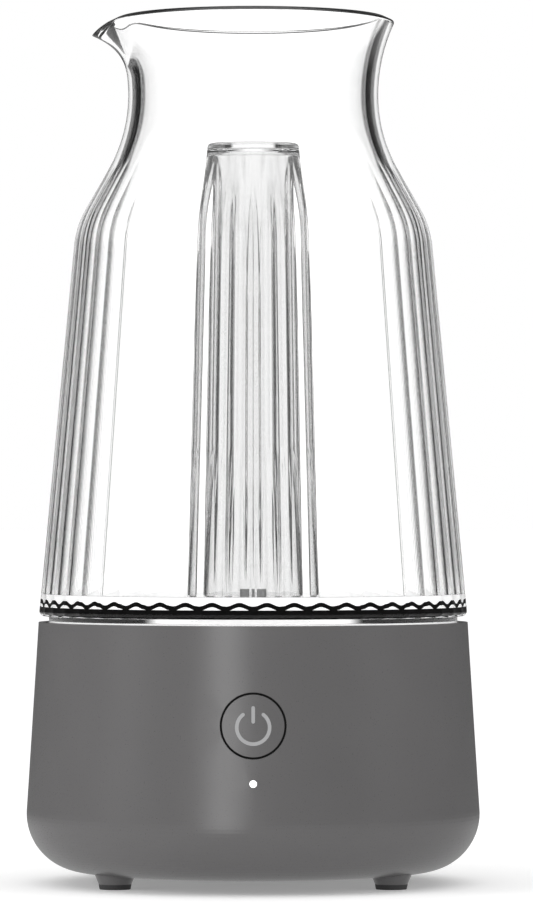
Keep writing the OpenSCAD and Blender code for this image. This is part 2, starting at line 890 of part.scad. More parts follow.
module inlet_board() {
    color("green")
        difference() {
            translate([-9, inlet_face - 15, inlet_deck - inlet_board_t])
                cube([18, 12, inlet_board_t]);
            for (p = inlet_spots)
                translate([p[0], p[1], inlet_deck - inlet_board_t - 1])
                    cylinder(r = 1.1, h = 4, $fn = 32);
        }
}

module inlet_screws() {
    color("silver")
        for (p = inlet_spots)
            translate([p[0], p[1], inlet_deck])
                screw(1.7, inlet_board_t + 3.5, 3.6, 1.3);
}

// Two upright cells stand in cups on the bottom cover, left and right of the motor
cell_x = motor_d / 2 + cell_d / 2 + 6.9;
cell_low = foot_h + cover_t + 1.5;
cell_top = cell_low + cell_len;

module battery_cells() {
    color([0.1, 0.45, 0.35])
        for (s = [-1, 1])
            translate([s * cell_x, 0, cell_low]) {
                cylinder(r = cell_d / 2, h = cell_len - 1);
                cylinder(r = cell_d / 4, h = cell_len);
            }
}

module battery_holder() {
    color([0.15, 0.15, 0.15])
        difference() {
            union() {
                for (s = [-1, 1])
                    translate([s * cell_x, 0, foot_h + cover_t])
                        cylinder(r = cell_d / 2 + 1.7, h = 18);
                translate([-cell_x, -5, foot_h + cover_t])
                    cube([2 * cell_x, 10, 1.5]);
            }
            for (s = [-1, 1])
                translate([s * cell_x, 0, cell_low])
                    cylinder(r = cell_d / 2 + 0.2, h = 30);
        }
}

shaft_r = shaft_d / 2;
motor_r = motor_d / 2;
boss_r = 5;
motor_screw_x = 8.4;

module motor() {
    color("silver")
        difference() {
            union() {
                translate([0, 0, motor_bottom])
                    cylinder(r = motor_r, h = motor_len);
                translate([0, 0, motor_top - 1])
                    cylinder(r = boss_r, h = 3);
                translate([0, 0, motor_bottom - 2])
                    cylinder(r = boss_r, h = 3);
                for (s = [-1, 1])
                    translate([s * 9 - 1.5, -0.5, motor_bottom - 4])
                        cube([3, 1, 5]);
            }
            translate([0, 0, motor_bottom + 5])
                cylinder(r = shaft_r + run_fit, h = motor_len + 10);
            for (s = [-1, 1])
                translate([s * motor_screw_x, 0, motor_top - 5])
                    cylinder(r = 1.25 + run_fit, h = 6, $fn = 32);
        }
}

module motor_shaft() {
    color("silver")
        translate([0, 0, motor_bottom + 6])
            cylinder(r = shaft_r, h = hub_top - 1.5 - motor_bottom - 6);
}

module motor_bracket() {
    color("gray")
        difference() {
            intersection() {
                translate([0, 0, motor_top])
                    cylinder(r = 24, h = bracket_t);
                translate([-18.6, -30, motor_top - 1])
                    cube([37.2, 60, bracket_t + 2]);
            }
            translate([0, 0, motor_top - 1])
                cylinder(r = boss_r + 0.1, h = 10);
            for (s = [-1, 1])
                translate([s * motor_screw_x, 0, motor_top - 1])
                    cylinder(r = 1.25 + loose, h = 10, $fn = 32);
            for (p = corners(20))
                translate([p[0], p[1], motor_top - 1])
                    cylinder(r = 1.25 + loose, h = 10, $fn = 32);
        }
}

module motor_screws() {
    color("silver")
        for (s = [-1, 1])
            translate([s * motor_screw_x, 0, bracket_top])
                screw(2.5, bracket_t + 4, 4.4, 1.6);
}

module bracket_screws() {
    color("silver")
        for (p = corners(20))
            translate([p[0], p[1], motor_top])
                mirror([0, 0, 1])
                    screw(2.5, bracket_t + 7, 4.6, 1.8);
}

module drive_magnet_spots() {
    for (i = [0:magnet_count - 1])
        rotate([0, 0, i * 360 / magnet_count])
            translate([hub_d / 2 - 4.3, 0, hub_top - 4])
                children();
}

module drive_hub() {
    color([0.9, 0.9, 0.86])
        difference() {
            translate([0, 0, hub_bottom])
                cylinder(r = hub_d / 2, h = hub_h);
            translate([0, 0, hub_bottom - 1])
                cylinder(r = shaft_r + snug, h = hub_h - 0.4);
            drive_magnet_spots()
                cylinder(r = 2.5 + snug, h = 6, $fn = 48);
        }
}

module drive_magnets() {
    color("silver")
        drive_magnet_spots()
            cylinder(r = 2.5, h = 4, $fn = 48);
}

module motor_leads() {
    z = motor_bottom - 8;
    for (s = [-1, 1])
        color(s > 0 ? "red" : "black")
            wire([[s * 9, 0, motor_bottom - 4], [s * 9, 0, z], [s * 9, 6 - board_back, z],
                [s * 9, 6 - board_back, board_low + 5], [s * 9, -board_back, board_low + 5]]);
}

module battery_leads() {
    z = cell_top + 5;
    for (s = [-1, 1])
        color(s > 0 ? "red" : "black")
            wire([[s * cell_x, 0, cell_top], [s * cell_x, 0, z], [s * 12, -30, z],
                [s * 18, 6 - board_back, board_high - 12], [s * 18, -board_back, board_high - 12]]);
}

module inlet_leads() {
    z = foot_h + cover_t + 6;
    zi = inlet_deck - inlet_board_t / 2;
    for (s = [-1, 1])
        color(s > 0 ? "red" : "black")
            wire([[s * 5.5, inlet_face - 15, zi], [s * 5.5, inlet_face - 19, zi], [s * 4.6, inlet_face - 30, z],
                [s * 3.4, 8 - board_back, z], [s * 3.2, 8 - board_back, board_low + 10],
                [s * 3.2, -board_back, board_low + 10]]);
}

carafe_body();
carafe_floor();
floor_seal();
pump_housing();
impeller_pin();
aerator_column();
impeller();
impeller_magnets();
base_shell();
base_deck();
bottom_cover();
cover_screws();
foot_pads();
power_button();
power_symbol();
button_guide();
pilot_lens();
pilot_led();
control_board();
board_parts();
board_screws();
switch_body();
switch_plunger();
inlet_socket();
inlet_board();
inlet_screws();
battery_cells();
battery_holder();
motor();
motor_shaft();
motor_bracket();
motor_screws();
bracket_screws();
drive_hub();
drive_magnets();
motor_leads();
battery_leads();
inlet_leads();
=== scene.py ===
import math

import bpy
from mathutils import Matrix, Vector


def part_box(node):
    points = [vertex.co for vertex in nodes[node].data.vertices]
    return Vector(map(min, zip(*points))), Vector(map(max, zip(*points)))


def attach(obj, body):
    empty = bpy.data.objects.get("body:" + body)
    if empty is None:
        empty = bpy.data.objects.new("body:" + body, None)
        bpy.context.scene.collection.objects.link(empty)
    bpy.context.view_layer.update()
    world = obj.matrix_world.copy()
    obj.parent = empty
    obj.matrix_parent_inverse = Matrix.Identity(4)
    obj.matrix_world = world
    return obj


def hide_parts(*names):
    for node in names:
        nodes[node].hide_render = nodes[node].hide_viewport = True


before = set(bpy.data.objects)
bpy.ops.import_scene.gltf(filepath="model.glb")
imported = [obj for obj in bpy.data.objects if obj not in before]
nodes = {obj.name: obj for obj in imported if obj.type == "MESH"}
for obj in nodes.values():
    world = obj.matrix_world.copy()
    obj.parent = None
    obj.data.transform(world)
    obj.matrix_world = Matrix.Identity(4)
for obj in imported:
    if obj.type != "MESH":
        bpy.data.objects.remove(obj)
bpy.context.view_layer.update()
scene = bpy.context.scene
MM = 0.001


def corners(node):
    """Lowest and highest corner of a CAD node, in mm."""
    low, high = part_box(node)
    return low / MM, high / MM


# Levels and radii that the frame gives, in mm
carafe_low, carafe_high = corners("carafe_body")
HEEL_Z, RIM_Z, HEEL_RAD = carafe_low.z, carafe_high.z, carafe_high.x
floor_low, floor_high = corners("carafe_floor")
WELL_BOTTOM, FLOOR_TOP, RING_R = floor_low.z, floor_high.z, floor_high.x
column_low, column_high = corners("aerator_column")
COLUMN_FOOT, COLUMN_TOP, COLUMN_R = column_low.z, column_high.z, column_high.y
PLATE_GAP = 0.1
PLATE_R = corners("pump_housing")[1].x + PLATE_GAP
DECK_TOP = corners("base_deck")[1].z

# Driving sizes, in mm and radians: those of part.scad, but for shallower flutes and a squarer rim
GLASS_T, HEEL_ROUND, RIM_ROUND = 4.0, 1.5, 0.7
WALL_LEAN, SHOULDER_LEAN, SHOULDER_R = math.radians(5.4), math.radians(30), 30.0
NECK_RAD, NECK_Z, NECK_LOW_R, NECK_UP_R = 40.0, RIM_Z - 25.0, 48.0, 55.0
FLUTES, FLUTE_DEPTH = 48, 0.45
FLUTE_TOP, FLUTE_END, LIP_LOW = NECK_Z - 40.8, NECK_Z - 18.8, NECK_Z + 5.5
SEAT_TOP, SEAT_STEP, SEAL_W = FLOOR_TOP + 1.6, 0.2, 1.6
FLOOR_T, RING_W, RECESS_H, WELL_R, WELL_T = 6.8, 3.4, 3.2, 12.0, 2.0
COLUMN_TOP_R, COLUMN_WALL = 14.6, 2.4
COLUMN_FLUTES, COLUMN_CUT_R, COLUMN_CAP, COLUMN_FLANGE = 10, 10.0, 2.2, 1.2

# Points round the turned pieces
AROUND_FLUTES, AROUND_PLAIN, AROUND_COLUMN = FLUTES * 14, 192, 600


def smooth(a, b, x):
    """0 at a and 1 at b, smoothly between."""
    t = min(1.0, max(0.0, (x - a) / (b - a)))
    return t * t * (3 - 2 * t)


def arc(centre, r, a, b, n):
    """The points of an arc from angle a to angle b, in n steps."""
    turns = [a + (b - a) * i / n for i in range(n + 1)]
    return [(centre[0] + r * math.cos(t), centre[1] + r * math.sin(t)) for t in turns]


def line(p, q, n):
    """The points between p and q, in n steps and without the two ends."""
    return [(p[0] + (q[0] - p[0]) * i / n, p[1] + (q[1] - p[1]) * i / n) for i in range(1, n)]


def lathe(name, profile, count, shape=None, sharp=50, second=()):
    """Turns a profile of (radius, height), in mm, about Z; shape(angle, r, z, index) moves each point.

    A profile that starts on the axis also ends there, and any other is closed into a ring.
    The bands that start at the profile indexes in second take the second material."""
    verts, rings = [], []
    for i, (r, z) in enumerate(profile):
        first = len(verts)
        turns = 1 if r == 0 else count
        for k in range(turns):
            a = 2 * math.pi * k / count
            rr, zz = shape(a, r, z, i) if shape else (r, z)
            verts.append((rr * math.cos(a) * MM, rr * math.sin(a) * MM, zz * MM))
        rings.append([first + k % turns for k in range(count)])
    after = rings[1:] if profile[0][0] == 0 else rings[1:] + rings[:1]
    faces = []
    for low, high in zip(rings, after):
        for k in range(count):
            n = (k + 1) % count
            faces.append(tuple(dict.fromkeys((low[k], low[n], high[n], high[k]))))
    mesh = bpy.data.meshes.new(name)
    mesh.from_pydata(verts, [], faces)
    mesh.update()
    for i, face in enumerate(mesh.polygons):
        face.use_smooth = True
        face.material_index = 1 if i // count in second else 0
    mesh.set_sharp_from_angle(angle=math.radians(sharp))
    obj = bpy.data.objects.new(name, mesh)
    scene.collection.objects.link(obj)
    return obj


def place(obj, body, slot, replaced, *mats):
    """Gives a piece its finish, and sets it on its body in the place of a CAD node."""
    picked = [face.material_index for face in obj.data.polygons]
    for mat in mats:
        obj.data.materials.append(mat)
    obj.data.polygons.foreach_set("material_index", picked)
    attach(obj, body)
    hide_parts(replaced)


# Finishes

NOISE_LOW, NOISE_HIGH = 0.3, 0.7


def new_mat(name):
    mat = bpy.data.materials.new(name)
    mat.use_nodes = True
    return mat, mat.node_tree, mat.node_tree.nodes["Principled BSDF"]


def noise(tree, scale, detail, rough=0.55, stretch=(1, 1, 1)):
    """Noise in the piece's own space, most of it between NOISE_LOW and NOISE_HIGH."""
    coord = tree.nodes.new("ShaderNodeTexCoord")
    mapping = tree.nodes.new("ShaderNodeMapping")
    mapping.inputs["Scale"].default_value = stretch
    tex = tree.nodes.new("ShaderNodeTexNoise")
    tex.inputs["Scale"].default_value = scale
    tex.inputs["Detail"].default_value = detail
    tex.inputs["Roughness"].default_value = rough
    tree.links.new(coord.outputs["Object"], mapping.inputs["Vector"])
    tree.links.new(mapping.outputs["Vector"], tex.inputs["Vector"])
    return tex.outputs["Fac"]


def remap(tree, value, low, high):
    """Spreads a noise value over low to high."""
    node = tree.nodes.new("ShaderNodeMapRange")
    ends = (("From Min", NOISE_LOW), ("From Max", NOISE_HIGH), ("To Min", low), ("To Max", high))
    for name, v in ends:
        node.inputs[name].default_value = v
    tree.links.new(value, node.inputs["Value"])
    return node.outputs["Result"]


def tint(tree, value, dark, light):
    """Spreads a noise value over two colours."""
    ramp = tree.nodes.new("ShaderNodeValToRGB")
    for element, at, color in zip(ramp.color_ramp.elements, (NOISE_LOW, NOISE_HIGH), (dark, light)):
        element.position = at
        element.color = (*color, 1)
    tree.links.new(value, ramp.inputs["Fac"])
    return ramp.outputs["Color"]


def bump(tree, bsdf, value, strength, distance):
    node = tree.nodes.new("ShaderNodeBump")
    node.inputs["Strength"].default_value = strength
    node.inputs["Distance"].default_value = distance
    tree.links.new(value, node.inputs["Height"])
    tree.links.new(node.outputs["Normal"], bsdf.inputs["Normal"])


def plastic(name, color, rough=0.5, grain=1200, depth=0.00003, specular=0.4, vary=0.05, metal=0.0,
            glow=0.0):
    """Moulded plastic, rubber or metal: fine grain in the surface, slow change of colour and roughness."""
    mat, tree, bsdf = new_mat(name)
    slow = noise(tree, scale=35, detail=3)
    fine = noise(tree, scale=grain, detail=2, rough=0.6)
    dark = [c * (1 - vary) for c in color]
    light = [min(1, c * (1 + vary)) for c in color]
    shade = tint(tree, slow, dark, light)
    tree.links.new(shade, bsdf.inputs["Base Color"])
    tree.links.new(remap(tree, fine, rough * 0.9, rough * 1.1), bsdf.inputs["Roughness"])
    bsdf.inputs["Specular IOR Level"].default_value = specular
    bsdf.inputs["Metallic"].default_value = metal
    if glow:
        tree.links.new(shade, bsdf.inputs["Emission Color"])
        bsdf.inputs["Emission Strength"].default_value = glow
    bump(tree, bsdf, fine, strength=0.35, distance=depth)
    return mat


def clear(name, ior, tone):
    """Clear moulded plastic or glass, with a very slight waviness; a tone of 1 is water-clear."""
    mat, tree, bsdf = new_mat(name)
    slow = noise(tree, scale=14, detail=2, rough=0.4, stretch=(1, 1, 0.35))
    tree.links.new(tint(tree, slow, [0.992 * tone] * 3, [tone] * 3), bsdf.inputs["Base Color"])
    tree.links.new(remap(tree, slow, 0.0, 0.002), bsdf.inputs["Roughness"])
    bsdf.inputs["Transmission Weight"].default_value = 1.0
    bsdf.inputs["IOR"].default_value = ior
    bump(tree, bsdf, slow, strength=0.1, distance=0.000015)
    return mat


def soft_grey(name, color):
    """The base's satin plastic."""
    return plastic(name, color, rough=0.3, grain=2600, depth=0.00002, specular=0.5, vary=0.025)


GLASS = clear("clear_glass", ior=1.49, tone=1.0)
COLUMN = clear("clear_column", ior=1.56, tone=0.85)
# Frosted white for the glass's edges that are cut by grinding; it also glows, which is painted light that
# keeps them white in the shade.
GROUND_PAINTED_LIGHT = plastic("ground_edge_painted_light", (0.9, 0.9, 0.9), rough=0.85, grain=1800, specular=0.2, vary=0.02, glow=0.75)
SEAL = plastic("seal_black", (0.003, 0.003, 0.003), rough=0.6, grain=700, specular=0.05)
BASE = soft_grey("base_soft_grey", (0.1, 0.0976, 0.0985))
BUTTON = soft_grey("button_soft_grey", (0.096, 0.0937, 0.0946))
DECK = plastic("deck_grey", (0.11, 0.107, 0.108))
COVER = plastic("cover_dark", (0.05, 0.05, 0.05), rough=0.55, grain=1400, depth=0.00006)
PAD = plastic("pad_rubber", (0.055, 0.054, 0.055), rough=0.7, grain=1600, depth=0.00006, specular=0.25)
# The button's guide is black so that the gap round the button reads dark: painted shade in the gap.
GUIDE_PAINTED_SHADE = plastic("guide_black", (0.008, 0.008, 0.008), rough=0.6, grain=1500, specular=0.25)
SYMBOL = plastic("symbol_light", (0.36, 0.36, 0.365), rough=0.45, grain=1800, depth=0.00002, vary=0.02)
LENS = plastic("lens_lit_white", (0.9, 0.9, 0.9), rough=0.3, grain=900, vary=0.03, glow=1.2)
# The pump's grey is set far lighter than its own grey: painted light that makes up for the shade it lies in
# under the glass.
PUMP_PAINTED_LIGHT = plastic("pump_grey", (0.5, 0.5, 0.5), rough=0.4)
WHITE = plastic("impeller_white", (0.72, 0.72, 0.71), rough=0.4, vary=0.03)
STEEL = plastic("plated_steel", (0.55, 0.55, 0.56), rough=0.3, grain=1800, depth=0.00002, specular=0.5,
                metal=1.0)
BOARD = plastic("board_green", (0.02, 0.13, 0.05), rough=0.4, grain=2000, vary=0.2)
CHIP = plastic("chip_black", (0.02, 0.02, 0.02), rough=0.5, grain=2200)
CELL = plastic("cell_wrap", (0.02, 0.16, 0.12), rough=0.3, grain=900)
LEAD = plastic("lead_insulation", (0.3, 0.03, 0.025), rough=0.45, grain=1600)

FINISH = {
    GLASS: ("carafe_body", "carafe_floor"),
    COLUMN: ("aerator_column",),
    SEAL: ("floor_seal",),
    BASE: ("base_shell",),
    BUTTON: ("power_button",),
    SYMBOL: ("power_symbol",),
    GUIDE_PAINTED_SHADE: ("button_guide",),
    LENS: ("pilot_lens", "pilot_led"),
    DECK: ("base_deck",),
    COVER: ("bottom_cover", "battery_holder"),
    PAD: ("foot_pads",),
    PUMP_PAINTED_LIGHT: ("pump_housing", "switch_plunger"),
    WHITE: ("impeller", "impeller_pin", "drive_hub"),
    STEEL: ("impeller_magnets", "drive_magnets", "cover_screws", "board_screws", "inlet_screws",
            "motor_screws", "bracket_screws", "motor", "motor_shaft", "motor_bracket", "inlet_socket"),
    BOARD: ("control_board", "inlet_board"),
    CHIP: ("board_parts", "switch_body"),
    CELL: ("battery_cells",),
    LEAD: ("motor_leads", "battery_leads", "inlet_leads"),
}
for mat, names in FINISH.items():
    for name in names:
        nodes[name].data.materials.clear()
        nodes[name].data.materials.append(mat)


# Carafe

def wall_rad(z):
    return HEEL_RAD - (z - HEEL_Z - HEEL_ROUND) * math.tan(WALL_LEAN)


SEAT_R = wall_rad(SEAT_TOP) - GLASS_T / math.cos(WALL_LEAN) - SEAT_STEP
DISC_R = SEAT_R - SEAL_W


def rim_angle():
    """How far the neck's upper arc turns before its inner edge reaches the rim's height."""
    return math.asin((RIM_Z - NECK_Z - RIM_ROUND) / (NECK_UP_R + GLASS_T - RIM_ROUND))


def shoulder_centre():
    """Centre of the arc that joins the leaning wall to the shoulder's slope."""
    slope, lean = math.tan(WALL_LEAN), math.tan(SHOULDER_LEAN)
    low_rad = NECK_RAD + NECK_LOW_R * (1 - math.cos(SHOULDER_LEAN))
    low_z = NECK_Z - NECK_LOW_R * math.sin(SHOULDER_LEAN)
    bend_z = (low_rad + low_z * lean - wall_rad(0)) / (lean - slope)
    half = (SHOULDER_LEAN - WALL_LEAN) / 2
    reach, turn = SHOULDER_R / math.cos(half), WALL_LEAN + half
    return wall_rad(bend_z) - reach * math.cos(turn), bend_z - reach * math.sin(turn)


def carafe_side(inset, rim_a):
    """The shoulder and neck, inset from the outer face, from the wall's top up to the rim."""
    low_centre, up_centre = (NECK_RAD + NECK_LOW_R, NECK_Z), (NECK_RAD + NECK_UP_R, NECK_Z)
    shoulder = arc(shoulder_centre(), SHOULDER_R - inset, WALL_LEAN, SHOULDER_LEAN, 14)
    neck = arc(low_centre, NECK_LOW_R + inset, math.pi + SHOULDER_LEAN, math.pi, 20)
    flare = arc(up_centre, NECK_UP_R + inset, math.pi, math.pi - rim_a, 22)
    return shoulder + line(shoulder[-1], neck[0], 6) + neck + flare[1:]


def rim_edge(inset, rim_a, start):
    """A rounded edge of the rim, which is cut square to the wall."""
    centre = (NECK_RAD + NECK_UP_R, NECK_Z)
    spot = arc(centre, NECK_UP_R + inset, math.pi - rim_a, math.pi - rim_a, 1)[0]
    return arc(spot, RIM_ROUND, start - rim_a, start - rim_a + math.pi / 2, 5)


def flute_depth(a, r, z):
    """Depth of the outer flutes at a point; they run out over the shoulder."""
    crown = 2.2
    across = (a * FLUTES / (2 * math.pi)) % 1.0 - 0.5
    depth = FLUTE_DEPTH * (r / HEEL_RAD) * (1 - smooth(FLUTE_TOP, FLUTE_END, z))
    return depth * (1 - abs(2 * across) ** crown)


def pull_lip(a, r, z):
    """Draws the rim out and down into the pouring lip, which lies towards -X."""
    lip_out, out_width, out_power = 6.9, 13.0, 2.3
    lip_drop, drop_width, drop_power = 4.6, 10.5, 2.0
    lip_top, widest = RIM_Z - 1, 45
    off = math.degrees(abs(a - math.pi))
    up = (z - LIP_LOW) / (lip_top - LIP_LOW)
    if up > 0 and off < widest:
        r += lip_out * math.exp(-(off / out_width) ** 2) * up ** out_power
        z -= lip_drop * math.exp(-(off / drop_width) ** 2) * up ** drop_power
    return r, z


def make_carafe():
    """Fluted wall with its neck and lip; the seat that the seal lies on is frosted white by grinding, and
    glows: painted light that keeps it white in the shade.
    """
    rim_a, seat_soft = rim_angle(), 0.15
    heel_centre = (HEEL_RAD - HEEL_ROUND, HEEL_Z + HEEL_ROUND)
    heel = arc(heel_centre, HEEL_ROUND, -math.pi / 2, WALL_LEAN, 8)
    side = carafe_side(0, rim_a)
    outer = heel + line(heel[-1], side[0], 36) + side
    rim = rim_edge(RIM_ROUND, rim_a, 0) + rim_edge(GLASS_T - RIM_ROUND, rim_a, math.pi / 2)
    down = carafe_side(GLASS_T, rim_a)[::-1]
    seat = [(SEAT_R + SEAT_STEP, SEAT_TOP), (SEAT_R, SEAT_TOP - seat_soft), (SEAT_R, HEEL_Z)]
    profile = outer + rim + down + line(down[-1], seat[0], 30) + seat
    # The seat's band takes the frosted white, whose glow is painted light.
    ground_seat_painted_light = len(profile) - 2

    def shape(a, r, z, i):
        if i < len(outer):
            r -= flute_depth(a, r, z)
        return pull_lip(a, r, z)

    return lathe("carafe_glass", profile, AROUND_FLUTES, shape, sharp=55, second=(ground_seat_painted_light,))


place(make_carafe(), "carafe", "clear_glass", "carafe_body", GLASS, GROUND_PAINTED_LIGHT)


def make_floor_disc():
    """Clear floor with its foot ring and the pump's well.

    The rim that the seal lies on, the ring's inner side, the pump's recess and the inside of the well
    are frosted white by grinding, and glow: painted light that keeps them white in the shade round the
    pump."""
    soft = 0.5
    under, recess_z, well_z = FLOOR_TOP - FLOOR_T, FLOOR_TOP - RECESS_H, WELL_BOTTOM + WELL_T
    ring_in, well_out = RING_R - RING_W, WELL_R + WELL_T
    ring, edge, recess = (ring_in, under - soft), (DISC_R, HEEL_Z), (PLATE_R, FLOOR_TOP - soft)
    well_side = [(0, WELL_BOTTOM), (well_out - soft, WELL_BOTTOM), (well_out, WELL_BOTTOM + soft),
                 (well_out, under - soft), (well_out + soft, under)]
    foot_ring = [(ring_in - soft, under), ring, (ring_in, DECK_TOP + soft), (ring_in + soft, DECK_TOP),
                 (RING_R - soft, DECK_TOP), (RING_R, DECK_TOP + soft), (RING_R, HEEL_Z)]
    top = [edge, (DISC_R, FLOOR_TOP - soft), (DISC_R - soft, FLOOR_TOP), (PLATE_R + soft, FLOOR_TOP)]
    well_inside = [recess, (PLATE_R, recess_z), (WELL_R, recess_z), (WELL_R, well_z), (0, well_z)]
    profile = well_side + foot_ring + top + well_inside
    within, rim, inside = profile.index(ring), profile.index(edge), profile.index(recess)
    # These bands take the frosted white, whose glow is painted light.
    ground_painted_light = (within, rim, rim + 1, inside, inside + 1, inside + 2)
    return lathe("carafe_floor_clear", profile, AROUND_PLAIN, sharp=35, second=ground_painted_light)


place(make_floor_disc(), "carafe", "clear_glass", "carafe_floor", GLASS, GROUND_PAINTED_LIGHT)


# Black seal, pressed against the glass: a flat band, and above it a bead that waves with the flutes

BAND_LOW, BAND_HIGH = HEEL_Z + 0.8, HEEL_Z + 2.9
BEAD_H, BEAD_WAVE, BEAD_SINK = 1.5, 0.58, 0.05
BEAD_LOW = FLOOR_TOP - BEAD_H - BEAD_WAVE - BEAD_SINK


def seal_ring(name, low, high, count, shape=None):
    """A ring between the floor's rim and its seat, from height low to high."""
    press, soft = 0.05, 0.15
    low_r, high_r = DISC_R + press, SEAT_R + press
    profile = [(low_r, low), (high_r, low), (high_r, high - soft), (high_r - soft, high),
               (low_r + soft, high), (low_r, high - soft)]
    return lathe(name, profile, count, shape, sharp=40)


def wave(a, r, z, i):
    """Raises and lowers the bead, one wave to a flute."""
    return r, z - BEAD_WAVE * math.cos(FLUTES * a)


band = seal_ring("floor_seal_band", BAND_LOW, BAND_HIGH, AROUND_PLAIN)
bead = seal_ring("floor_seal_bead", BEAD_LOW, BEAD_LOW + BEAD_H, AROUND_FLUTES, wave)
place(band, "carafe", "seal_black", "floor_seal", SEAL)
place(bead, "carafe", "seal_black", "floor_seal", SEAL)


# Hollow centre column, whose inside follows its flutes

COLUMN_H = COLUMN_TOP - FLOOR_TOP
HALF_FLUTE = math.pi / COLUMN_FLUTES


def column_z(share):
    """Height at a share of the column's own height."""
    return FLOOR_TOP + share * COLUMN_H


def column_rad(z):
    """Radius over the ribs: an even taper, and a curve inwards near the top."""
    even = 0.3
    t = (z - FLOOR_TOP) / COLUMN_H
    return COLUMN_R - (COLUMN_R - COLUMN_TOP_R) * (even * t + (1 - even) * t ** 4)


def column_side(inset, low, high, steps=130):
    heights = [low + (high - low) * i / steps for i in range(steps + 1)]
    return [(column_rad(z) - inset, z) for z in heights]


# Flutes of the column: leaning cylinders, which run out on a cone towards its foot

CUT_LOW, CUT_HIGH = column_z(0.04), column_z(0.94)
RUN_END, RUN_FROM = column_z(0.02), column_z(0.3)


def axis_low():
    """Distance of a flute's axis from the column's at CUT_LOW, where two flutes meet on a rib's edge."""
    rib = column_rad(CUT_LOW)
    return rib * math.cos(HALF_FLUTE) + math.sqrt(COLUMN_CUT_R ** 2 - (rib * math.sin(HALF_FLUTE)) ** 2)


AXIS_LOW, AXIS_HIGH = axis_low(), column_rad(CUT_HIGH) + COLUMN_CUT_R
RUN_SLOPE = (AXIS_LOW - COLUMN_CUT_R - column_rad(RUN_END)) / (RUN_FROM - RUN_END)


def flute_cut(a, r, z, cutter):
    """Radius at angle a once the nearest flute, of radius cutter, is cut from radius r."""
    blend = 0.25
    axis = AXIS_LOW + (AXIS_HIGH - AXIS_LOW) * (z - CUT_LOW) / (CUT_HIGH - CUT_LOW)
    off = (a + HALF_FLUTE) % (2 * HALF_FLUTE) - HALF_FLUTE
    side = axis * math.sin(off)
    if abs(side) >= cutter:
        return r
    run_out = column_rad(RUN_END) + RUN_SLOPE * (z - RUN_END) - (cutter - COLUMN_CUT_R)
    cut = max(run_out, axis * math.cos(off) - math.sqrt(cutter ** 2 - side ** 2))
    near = max(blend - abs(cut - r), 0.0) / blend
    return min(r, cut) - near ** 2 * blend / 4


def make_column():
    """Column of even wall, closed at its top, on a flange with a register ring round the pump's plate."""
    edge, edge_from, soft, lift = 1.0, math.radians(6), 3.0, 0.02
    register_r, flange_in, flange_top = PLATE_R - 0.2, PLATE_R - 1.4, FLOOR_TOP + COLUMN_FLANGE
    ceiling = COLUMN_TOP - COLUMN_CAP
    bend_r = column_rad(ceiling - soft) - COLUMN_WALL - soft
    inner = [(0, ceiling)] + arc((bend_r, ceiling - soft), soft, math.pi / 2, 0, 10)[:-1]
    inner += column_side(COLUMN_WALL, flange_top, ceiling - soft)[::-1]
    inner += [(flange_in, flange_top), (flange_in, COLUMN_FOOT)]
    outer = [(register_r, COLUMN_FOOT), (register_r, FLOOR_TOP)]
    outer += column_side(0, FLOOR_TOP + lift, COLUMN_TOP - edge)
    edge_centre = (COLUMN_TOP_R - edge, COLUMN_TOP - edge)
    outer += arc(edge_centre, edge, edge_from, math.pi / 2, 10) + [(0, COLUMN_TOP)]

    def shape(a, r, z, i):
        if r <= register_r and z <= flange_top or r == 0:
            return r, z
        inset = COLUMN_WALL if i < len(inner) else 0
        return flute_cut(a, r, z, COLUMN_CUT_R + inset), z

    return lathe("aerator_column_clear", inner + outer, AROUND_COLUMN, shape, sharp=40)


place(make_column(), "column", "clear_glass", "aerator_column", COLUMN)


# Studio

def make_floor():
    """Plain white floor, which the clear pieces and the reflections don't show."""
    half = 30.0
    mesh = bpy.data.meshes.new("studio_floor")
    mesh.from_pydata([(-half, -half, 0), (half, -half, 0), (half, half, 0), (-half, half, 0)], [],
                     [(0, 1, 2, 3)])
    obj = bpy.data.objects.new("studio_floor", mesh)
    scene.collection.objects.link(obj)
    mat, tree, bsdf = new_mat("studio_white")
    shade = tint(tree, noise(tree, scale=3, detail=2), [0.86] * 3, [0.88] * 3)
    tree.links.new(shade, bsdf.inputs["Base Color"])
    bsdf.inputs["Roughness"].default_value = 0.6
    bsdf.inputs["Specular IOR Level"].default_value = 0.1
    bsdf.inputs["Emission Color"].default_value = (1, 1, 1, 1)
    bsdf.inputs["Emission Strength"].default_value = 0.25
    mesh.materials.append(mat)
    obj.visible_transmission = False
    obj.visible_glossy = False


def math_node(tree, op, *values):
    node = tree.nodes.new("ShaderNodeMath")
    node.operation = op
    for socket, v in zip(node.inputs, values):
        if isinstance(v, (int, float)):
            socket.default_value = v
        else:
            tree.links.new(v, socket)
    return node.outputs[0]


def largest(tree, first, *others):
    """The largest of some node values."""
    for value in others:
        first = math_node(tree, "MAXIMUM", first, value)
    return first


def step_range(tree, value, a, b):
    """0 at a and 1 at b, smoothly between."""
    node = tree.nodes.new("ShaderNodeMapRange")
    node.interpolation_type = "SMOOTHSTEP"
    node.inputs["From Min"].default_value = a
    node.inputs["From Max"].default_value = b
    tree.links.new(value, node.inputs["Value"])
    return node.outputs["Result"]


def turn_range(tree, turn, a, b):
    """0 at a and 1 at b, two angles in degrees, smoothly between."""
    return step_range(tree, turn, math.radians(a), math.radians(b))


def mix(tree, factor, a, b):
    """a where factor is 0 and b where it is 1."""
    node = tree.nodes.new("ShaderNodeMix")
    for name, v in (("Factor", factor), ("A", a), ("B", b)):
        if isinstance(v, (int, float)):
            node.inputs[name].default_value = v
        else:
            tree.links.new(v, node.inputs[name])
    return node.outputs["Result"]


